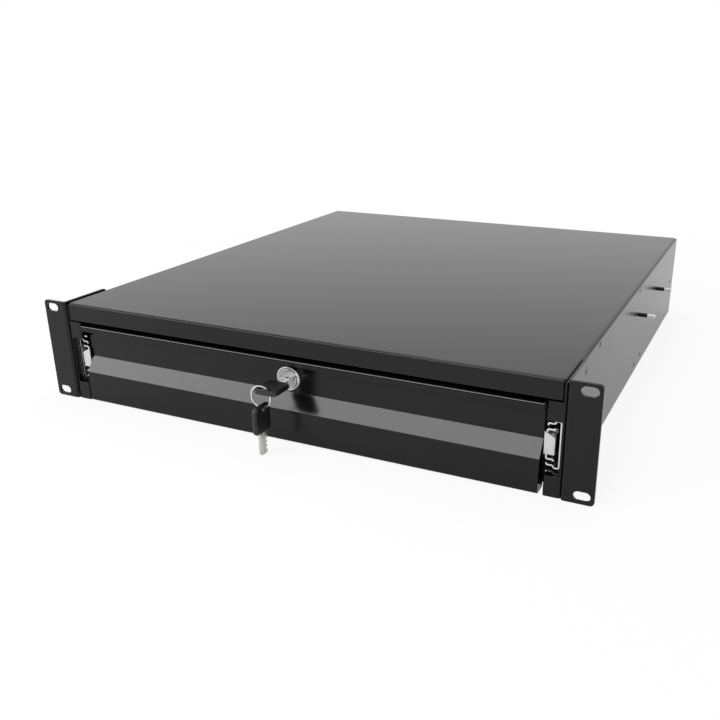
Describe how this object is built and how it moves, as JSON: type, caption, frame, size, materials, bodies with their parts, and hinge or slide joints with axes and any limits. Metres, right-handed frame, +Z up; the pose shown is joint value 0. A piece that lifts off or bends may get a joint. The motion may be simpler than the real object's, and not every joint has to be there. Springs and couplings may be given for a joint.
{
  "type": "sliding rack drawer",
  "caption": "Lockable sliding drawer for a 19-inch equipment rack, with slotted rack ears, a folded steel case, full-extension ball slides and a keyed cam lock.",
  "frame": {"origin": "centre of the four rack-ear slots, on the ears' front face", "axes": "+X to the drawer's right as seen from the front, +Y to the back of the rack, +Z up"},
  "size_m": [0.4826, 0.5169, 0.0882],
  "materials": {
    "black_powder_coat": "fine-textured satin black powder coat",
    "zinc_plate": "bright zinc plate on rolled steel",
    "bearing_steel": "polished bearing balls",
    "white_plastic": "moulded light plastic",
    "lock_chrome": "chrome-plated die casting",
    "lock_nickel": "satin nickel",
    "key_steel": "nickel-plated blade",
    "ring_wire": "plated spring wire",
    "key_plastic": "moulded black plastic"
  },
  "bodies": {
    "case": {"left_rack_ear": "black_powder_coat", "right_rack_ear": "black_powder_coat", "ear_screws": "black_powder_coat", "left_side_wall": "black_powder_coat", "right_side_wall": "black_powder_coat", "top_cover": "black_powder_coat", "rear_panel": "black_powder_coat", "bottom_crossbar": "black_powder_coat", "lock_strike": "black_powder_coat", "cover_screws": "black_powder_coat", "rear_screws": "black_powder_coat", "crossbar_rivets": "black_powder_coat", "slide_rivets": "zinc_plate", "left_studs": "zinc_plate", "right_studs": "zinc_plate", "left_outer_rail": "zinc_plate", "right_outer_rail": "zinc_plate"},
    "drawer": {"drawer_tray": "black_powder_coat", "front_panel": "black_powder_coat", "panel_screws": "zinc_plate", "tray_screws": "zinc_plate", "left_inner_rail": "zinc_plate", "right_inner_rail": "zinc_plate", "rail_end_blocks": "white_plastic", "lock_body": "lock_chrome", "lock_nut": "zinc_plate"},
    "left_outer_retainer": {"left_outer_cage": "zinc_plate", "left_outer_balls": "bearing_steel"},
    "left_middle_member": {"left_middle_rail": "zinc_plate"},
    "left_inner_retainer": {"left_inner_cage": "zinc_plate", "left_inner_balls": "bearing_steel"},
    "right_outer_retainer": {"right_outer_cage": "zinc_plate", "right_outer_balls": "bearing_steel"},
    "right_middle_member": {"right_middle_rail": "zinc_plate"},
    "right_inner_retainer": {"right_inner_cage": "zinc_plate", "right_inner_balls": "bearing_steel"},
    "lock_cylinder": {"lock_plug": "lock_nickel", "lock_cam": "zinc_plate", "cam_bolt": "zinc_plate"},
    "key": {"key_blade": "key_steel", "key_bow": "key_plastic"},
    "ring": {"key_ring": "ring_wire"},
    "spare_key": {"spare_key_blade": "key_steel", "spare_key_bow": "key_plastic"}
  },
  "joints": [
    {"name": "drawer_slide", "type": "slide", "parent": "case", "child": "drawer", "axis": [0, -1, 0], "range_m": [0, 0.43]},
    {"name": "left_middle_member_slide", "type": "slide", "parent": "case", "child": "left_middle_member", "axis": [0, -1, 0], "range_m": [0, 0.215]},
    {"name": "left_outer_retainer_slide", "type": "slide", "parent": "case", "child": "left_outer_retainer", "axis": [0, -1, 0], "range_m": [0, 0.1075]},
    {"name": "left_inner_retainer_slide", "type": "slide", "parent": "case", "child": "left_inner_retainer", "axis": [0, -1, 0], "range_m": [0, 0.3225]},
    {"name": "right_middle_member_slide", "type": "slide", "parent": "case", "child": "right_middle_member", "axis": [0, -1, 0], "range_m": [0, 0.215]},
    {"name": "right_outer_retainer_slide", "type": "slide", "parent": "case", "child": "right_outer_retainer", "axis": [0, -1, 0], "range_m": [0, 0.1075]},
    {"name": "right_inner_retainer_slide", "type": "slide", "parent": "case", "child": "right_inner_retainer", "axis": [0, -1, 0], "range_m": [0, 0.3225]},
    {"name": "lock_turn", "type": "hinge", "parent": "drawer", "child": "lock_cylinder", "pos_m": [0, 0.0057, 0.00765], "axis": [0, -1, 0], "range_deg": [0, 90]},
    {"name": "key_slide", "type": "slide", "parent": "lock_cylinder", "child": "key", "axis": [0, -1, 0], "range_m": [0, 0.03]},
    {"name": "ring_swing", "type": "hinge", "parent": "key", "child": "ring", "pos_m": [-0.0052, -0.024, 0.00965], "axis": [1, 0, 0], "range_deg": [-12, 12]},
    {"name": "spare_key_swing", "type": "hinge", "parent": "ring", "child": "spare_key", "pos_m": [-0.0052, -0.024, -0.0056], "axis": [1, 0, 0], "range_deg": [-12, 12]}
  ],
  "couplings": [
    {"joint": "left_middle_member_slide", "follows": "drawer_slide", "ratio": 0.5},
    {"joint": "left_outer_retainer_slide", "follows": "drawer_slide", "ratio": 0.25},
    {"joint": "left_inner_retainer_slide", "follows": "drawer_slide", "ratio": 0.75},
    {"joint": "right_middle_member_slide", "follows": "drawer_slide", "ratio": 0.5},
    {"joint": "right_outer_retainer_slide", "follows": "drawer_slide", "ratio": 0.25},
    {"joint": "right_inner_retainer_slide", "follows": "drawer_slide", "ratio": 0.75}
  ]
}
